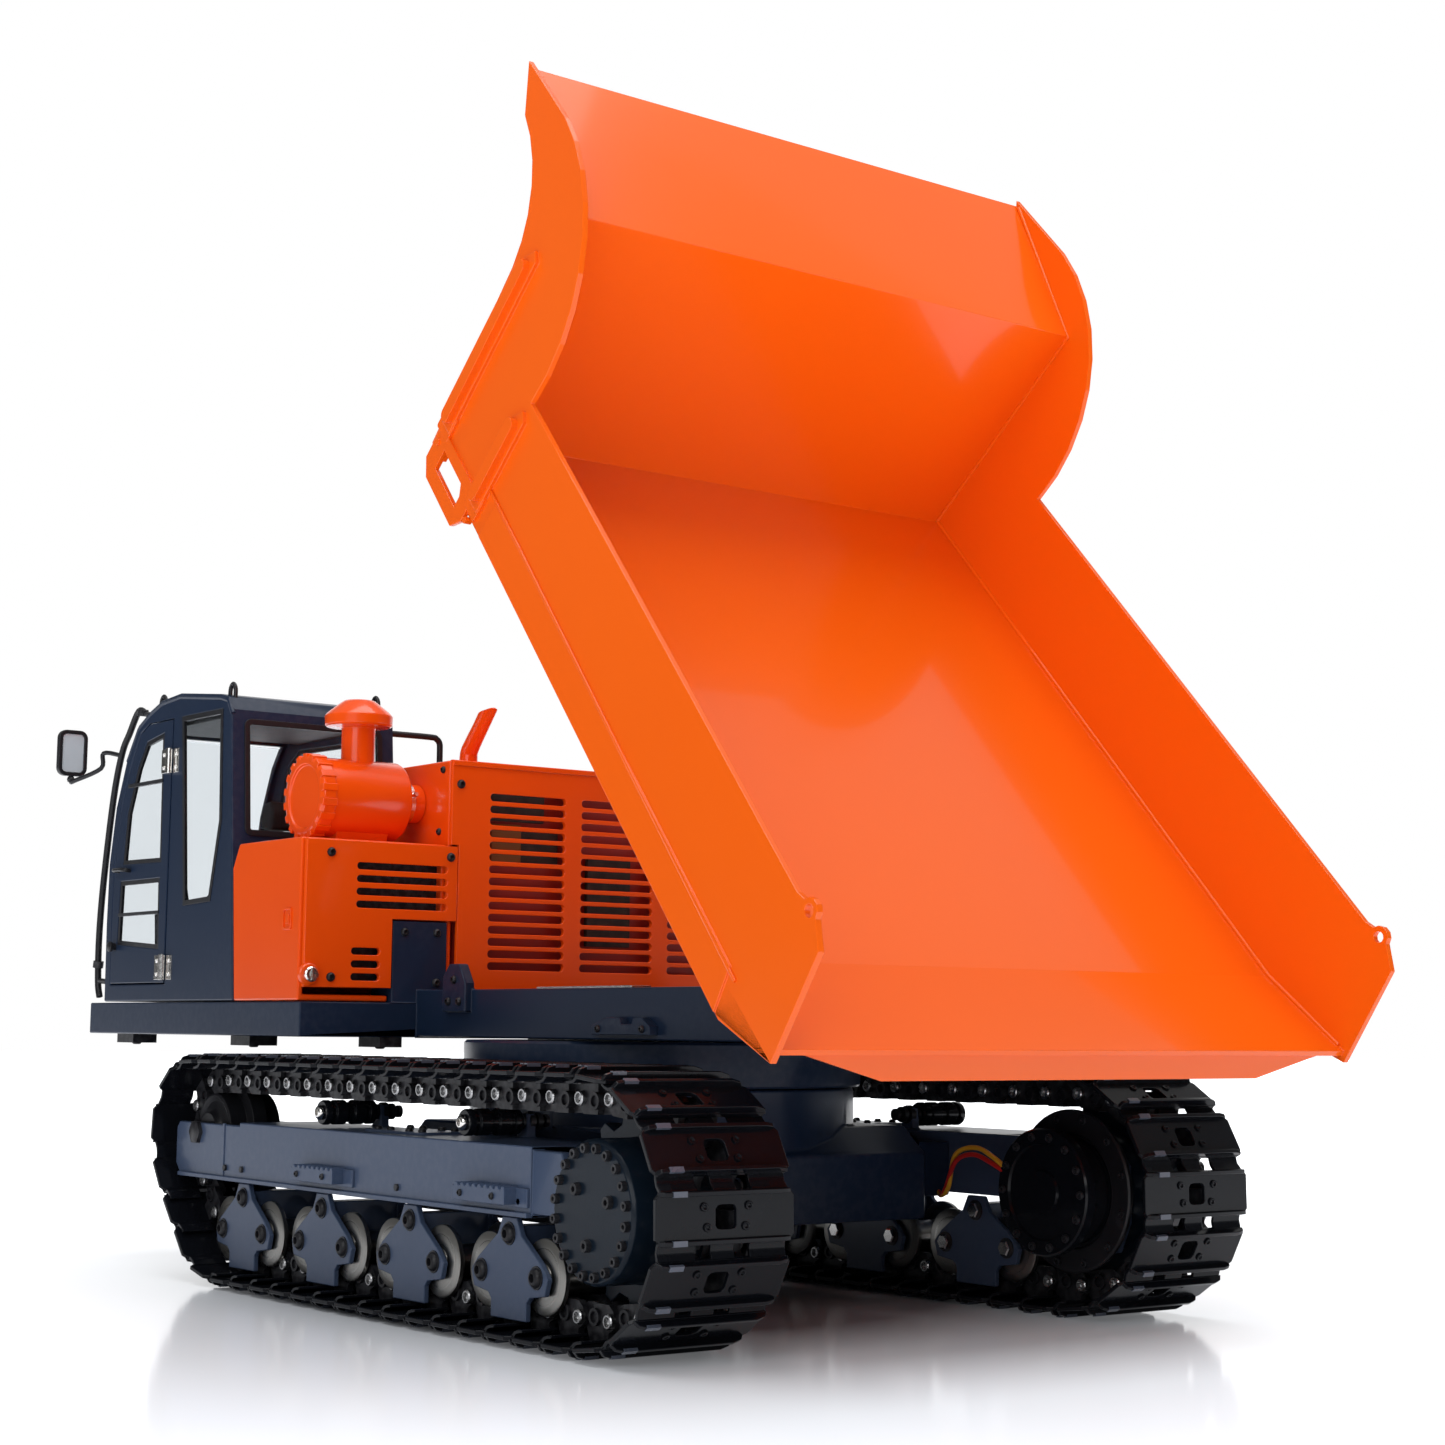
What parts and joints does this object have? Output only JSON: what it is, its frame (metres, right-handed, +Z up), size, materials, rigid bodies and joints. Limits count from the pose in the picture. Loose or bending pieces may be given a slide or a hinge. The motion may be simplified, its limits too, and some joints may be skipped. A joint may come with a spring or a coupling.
{
  "type": "rotating tracked dump carrier model",
  "caption": "Rotating tracked dump carrier: tipping bed and hydraulic ram on a slewing deck with cab and engine cover, over a pair of crawler tracks.",
  "frame": {"origin": "centre of the bounding box in plan, on the ground under the tracks", "axes": "+X machine's left, +Y towards the tipping end, +Z up; the cab faces -Y"},
  "size_m": [0.2156, 0.4427, 0.3586],
  "materials": {
    "orange_paint": "glossy bright orange enamel",
    "blue_grey_paint": "satin dark blue-grey paint",
    "black_paint": "semi-gloss black coating",
    "machined_steel": "fine turned machining marks",
    "bright_nickel": "bright nickel plating",
    "clear_glass": "clear acrylic glazing",
    "mirror_face": "polished mirror",
    "dark_plastic": "moulded matte plastic",
    "wire_insulation": "thin smooth cable insulation"
  },
  "bodies": {
    "undercarriage": {"car_body": "blue_grey_paint", "slew_ring": "blue_grey_paint", "track_frame_left": "blue_grey_paint", "track_frame_right": "blue_grey_paint", "track_belt_left": "black_paint", "track_belt_right": "black_paint", "drive_motor_left": "black_paint", "drive_motor_right": "black_paint", "bogie_left_1": "blue_grey_paint", "bogie_left_2": "blue_grey_paint", "bogie_left_3": "blue_grey_paint", "bogie_left_4": "blue_grey_paint", "bogie_right_1": "blue_grey_paint", "bogie_right_2": "blue_grey_paint", "bogie_right_3": "blue_grey_paint", "bogie_right_4": "blue_grey_paint"},
    "upper_structure": {"deck": "blue_grey_paint", "cab_shell": "blue_grey_paint", "windscreen": "clear_glass", "seat": "dark_plastic", "console": "black_paint", "side_cover": "orange_paint", "side_panel": "orange_paint", "engine_hood": "orange_paint", "rear_grille": "orange_paint", "air_cleaner": "orange_paint", "exhaust": "orange_paint", "handrail": "black_paint", "grab_rail": "black_paint", "battery": "black_paint", "hydraulic_pump": "machined_steel"},
    "door": {"cab_door": "blue_grey_paint"},
    "mirror_head": {"mirror": "black_paint"},
    "bed": {"dump_bed": "orange_paint"},
    "barrel": {"cylinder_barrel": "black_paint"},
    "rod": {"cylinder_rod": "bright_nickel"},
    "sprocket_left": {"sprocket_left": "black_paint"},
    "idler_left": {"idler_left": "black_paint"},
    "carrier_roller_left_1": {"carrier_roller_left_1": "black_paint"},
    "carrier_roller_left_2": {"carrier_roller_left_2": "black_paint"},
    "roller_left_1": {"roller_left_1": "machined_steel"},
    "roller_left_2": {"roller_left_2": "machined_steel"},
    "roller_left_3": {"roller_left_3": "machined_steel"},
    "roller_left_4": {"roller_left_4": "machined_steel"},
    "roller_left_5": {"roller_left_5": "machined_steel"},
    "roller_left_6": {"roller_left_6": "machined_steel"},
    "roller_left_7": {"roller_left_7": "machined_steel"},
    "roller_left_8": {"roller_left_8": "machined_steel"},
    "sprocket_right": {"sprocket_right": "black_paint"},
    "idler_right": {"idler_right": "black_paint"},
    "carrier_roller_right_1": {"carrier_roller_right_1": "black_paint"},
    "carrier_roller_right_2": {"carrier_roller_right_2": "black_paint"},
    "roller_right_1": {"roller_right_1": "machined_steel"},
    "roller_right_2": {"roller_right_2": "machined_steel"},
    "roller_right_3": {"roller_right_3": "machined_steel"},
    "roller_right_4": {"roller_right_4": "machined_steel"},
    "roller_right_5": {"roller_right_5": "machined_steel"},
    "roller_right_6": {"roller_right_6": "machined_steel"},
    "roller_right_7": {"roller_right_7": "machined_steel"},
    "roller_right_8": {"roller_right_8": "machined_steel"}
  },
  "joints": [
    {"name": "slew", "type": "hinge", "parent": "undercarriage", "child": "upper_structure", "pos_m": [0, 0.0175, 0.0798], "axis": [0, 0, 1], "continuous": true},
    {"name": "door_hinge", "type": "hinge", "parent": "upper_structure", "child": "door", "pos_m": [0.0983, -0.144, 0.0908], "axis": [0, 0, 1], "range_deg": [0, 100]},
    {"name": "mirror_swivel", "type": "hinge", "parent": "upper_structure", "child": "mirror_head", "pos_m": [0.1035, -0.2195, 0.1748], "axis": [0, 0, 1], "range_deg": [-40, 40]},
    {"name": "bed_tip", "type": "hinge", "parent": "upper_structure", "child": "bed", "pos_m": [0, 0.1583, 0.1077], "axis": [1, 0, 0], "range_deg": [0, 48.5]},
    {"name": "barrel_pivot", "type": "hinge", "parent": "upper_structure", "child": "barrel", "pos_m": [0, 0.144, 0.087], "axis": [1, 0, 0], "range_deg": [0, 45]},
    {"name": "rod_slide", "type": "slide", "parent": "barrel", "child": "rod", "axis": [0, -0.3865, 0.9223], "range_m": [-0.021, 0]},
    {"name": "left_drive", "type": "hinge", "parent": "undercarriage", "child": "sprocket_left", "pos_m": [0.085, 0.13, 0.037], "axis": [1, 0, 0], "continuous": true},
    {"name": "idler_left_spin", "type": "hinge", "parent": "undercarriage", "child": "idler_left", "pos_m": [0.085, -0.107, 0.048], "axis": [1, 0, 0], "continuous": true},
    {"name": "carrier_roller_left_1_spin", "type": "hinge", "parent": "undercarriage", "child": "carrier_roller_left_1", "pos_m": [0.085, -0.032, 0.0567], "axis": [1, 0, 0], "continuous": true},
    {"name": "carrier_roller_left_2_spin", "type": "hinge", "parent": "undercarriage", "child": "carrier_roller_left_2", "pos_m": [0.085, 0.053, 0.0567], "axis": [1, 0, 0], "continuous": true},
    {"name": "roller_left_1_spin", "type": "hinge", "parent": "undercarriage", "child": "roller_left_1", "pos_m": [0.085, -0.0894, 0.0178], "axis": [1, 0, 0], "continuous": true},
    {"name": "roller_left_2_spin", "type": "hinge", "parent": "undercarriage", "child": "roller_left_2", "pos_m": [0.085, -0.0618, 0.0178], "axis": [1, 0, 0], "continuous": true},
    {"name": "roller_left_3_spin", "type": "hinge", "parent": "undercarriage", "child": "roller_left_3", "pos_m": [0.085, -0.036, 0.0178], "axis": [1, 0, 0], "continuous": true},
    {"name": "roller_left_4_spin", "type": "hinge", "parent": "undercarriage", "child": "roller_left_4", "pos_m": [0.085, -0.0084, 0.0178], "axis": [1, 0, 0], "continuous": true},
    {"name": "roller_left_5_spin", "type": "hinge", "parent": "undercarriage", "child": "roller_left_5", "pos_m": [0.085, 0.0174, 0.0178], "axis": [1, 0, 0], "continuous": true},
    {"name": "roller_left_6_spin", "type": "hinge", "parent": "undercarriage", "child": "roller_left_6", "pos_m": [0.085, 0.045, 0.0178], "axis": [1, 0, 0], "continuous": true},
    {"name": "roller_left_7_spin", "type": "hinge", "parent": "undercarriage", "child": "roller_left_7", "pos_m": [0.085, 0.0708, 0.0178], "axis": [1, 0, 0], "continuous": true},
    {"name": "roller_left_8_spin", "type": "hinge", "parent": "undercarriage", "child": "roller_left_8", "pos_m": [0.085, 0.0984, 0.0178], "axis": [1, 0, 0], "continuous": true},
    {"name": "right_drive", "type": "hinge", "parent": "undercarriage", "child": "sprocket_right", "pos_m": [-0.085, 0.13, 0.037], "axis": [1, 0, 0], "continuous": true},
    {"name": "idler_right_spin", "type": "hinge", "parent": "undercarriage", "child": "idler_right", "pos_m": [-0.085, -0.107, 0.048], "axis": [1, 0, 0], "continuous": true},
    {"name": "carrier_roller_right_1_spin", "type": "hinge", "parent": "undercarriage", "child": "carrier_roller_right_1", "pos_m": [-0.085, -0.032, 0.0567], "axis": [1, 0, 0], "continuous": true},
    {"name": "carrier_roller_right_2_spin", "type": "hinge", "parent": "undercarriage", "child": "carrier_roller_right_2", "pos_m": [-0.085, 0.053, 0.0567], "axis": [1, 0, 0], "continuous": true},
    {"name": "roller_right_1_spin", "type": "hinge", "parent": "undercarriage", "child": "roller_right_1", "pos_m": [-0.085, -0.0894, 0.0178], "axis": [1, 0, 0], "continuous": true},
    {"name": "roller_right_2_spin", "type": "hinge", "parent": "undercarriage", "child": "roller_right_2", "pos_m": [-0.085, -0.0618, 0.0178], "axis": [1, 0, 0], "continuous": true},
    {"name": "roller_right_3_spin", "type": "hinge", "parent": "undercarriage", "child": "roller_right_3", "pos_m": [-0.085, -0.036, 0.0178], "axis": [1, 0, 0], "continuous": true},
    {"name": "roller_right_4_spin", "type": "hinge", "parent": "undercarriage", "child": "roller_right_4", "pos_m": [-0.085, -0.0084, 0.0178], "axis": [1, 0, 0], "continuous": true},
    {"name": "roller_right_5_spin", "type": "hinge", "parent": "undercarriage", "child": "roller_right_5", "pos_m": [-0.085, 0.0174, 0.0178], "axis": [1, 0, 0], "continuous": true},
    {"name": "roller_right_6_spin", "type": "hinge", "parent": "undercarriage", "child": "roller_right_6", "pos_m": [-0.085, 0.045, 0.0178], "axis": [1, 0, 0], "continuous": true},
    {"name": "roller_right_7_spin", "type": "hinge", "parent": "undercarriage", "child": "roller_right_7", "pos_m": [-0.085, 0.0708, 0.0178], "axis": [1, 0, 0], "continuous": true},
    {"name": "roller_right_8_spin", "type": "hinge", "parent": "undercarriage", "child": "roller_right_8", "pos_m": [-0.085, 0.0984, 0.0178], "axis": [1, 0, 0], "continuous": true}
  ],
  "couplings": [
    {"joint": "barrel_pivot", "follows": "bed_tip", "ratio": 0.9},
    {"joint": "rod_slide", "follows": "bed_tip", "m_per_rad": -0.0236},
    {"joint": "idler_left_spin", "follows": "left_drive", "ratio": 1.9048},
    {"joint": "carrier_roller_left_1_spin", "follows": "left_drive", "ratio": 6.3158},
    {"joint": "carrier_roller_left_2_spin", "follows": "left_drive", "ratio": 6.3158},
    {"joint": "roller_left_1_spin", "follows": "left_drive", "ratio": 5.3333},
    {"joint": "roller_left_2_spin", "follows": "left_drive", "ratio": 5.3333},
    {"joint": "roller_left_3_spin", "follows": "left_drive", "ratio": 5.3333},
    {"joint": "roller_left_4_spin", "follows": "left_drive", "ratio": 5.3333},
    {"joint": "roller_left_5_spin", "follows": "left_drive", "ratio": 5.3333},
    {"joint": "roller_left_6_spin", "follows": "left_drive", "ratio": 5.3333},
    {"joint": "roller_left_7_spin", "follows": "left_drive", "ratio": 5.3333},
    {"joint": "roller_left_8_spin", "follows": "left_drive", "ratio": 5.3333},
    {"joint": "idler_right_spin", "follows": "right_drive", "ratio": 1.9048},
    {"joint": "carrier_roller_right_1_spin", "follows": "right_drive", "ratio": 6.3158},
    {"joint": "carrier_roller_right_2_spin", "follows": "right_drive", "ratio": 6.3158},
    {"joint": "roller_right_1_spin", "follows": "right_drive", "ratio": 5.3333},
    {"joint": "roller_right_2_spin", "follows": "right_drive", "ratio": 5.3333},
    {"joint": "roller_right_3_spin", "follows": "right_drive", "ratio": 5.3333},
    {"joint": "roller_right_4_spin", "follows": "right_drive", "ratio": 5.3333},
    {"joint": "roller_right_5_spin", "follows": "right_drive", "ratio": 5.3333},
    {"joint": "roller_right_6_spin", "follows": "right_drive", "ratio": 5.3333},
    {"joint": "roller_right_7_spin", "follows": "right_drive", "ratio": 5.3333},
    {"joint": "roller_right_8_spin", "follows": "right_drive", "ratio": 5.3333}
  ]
}
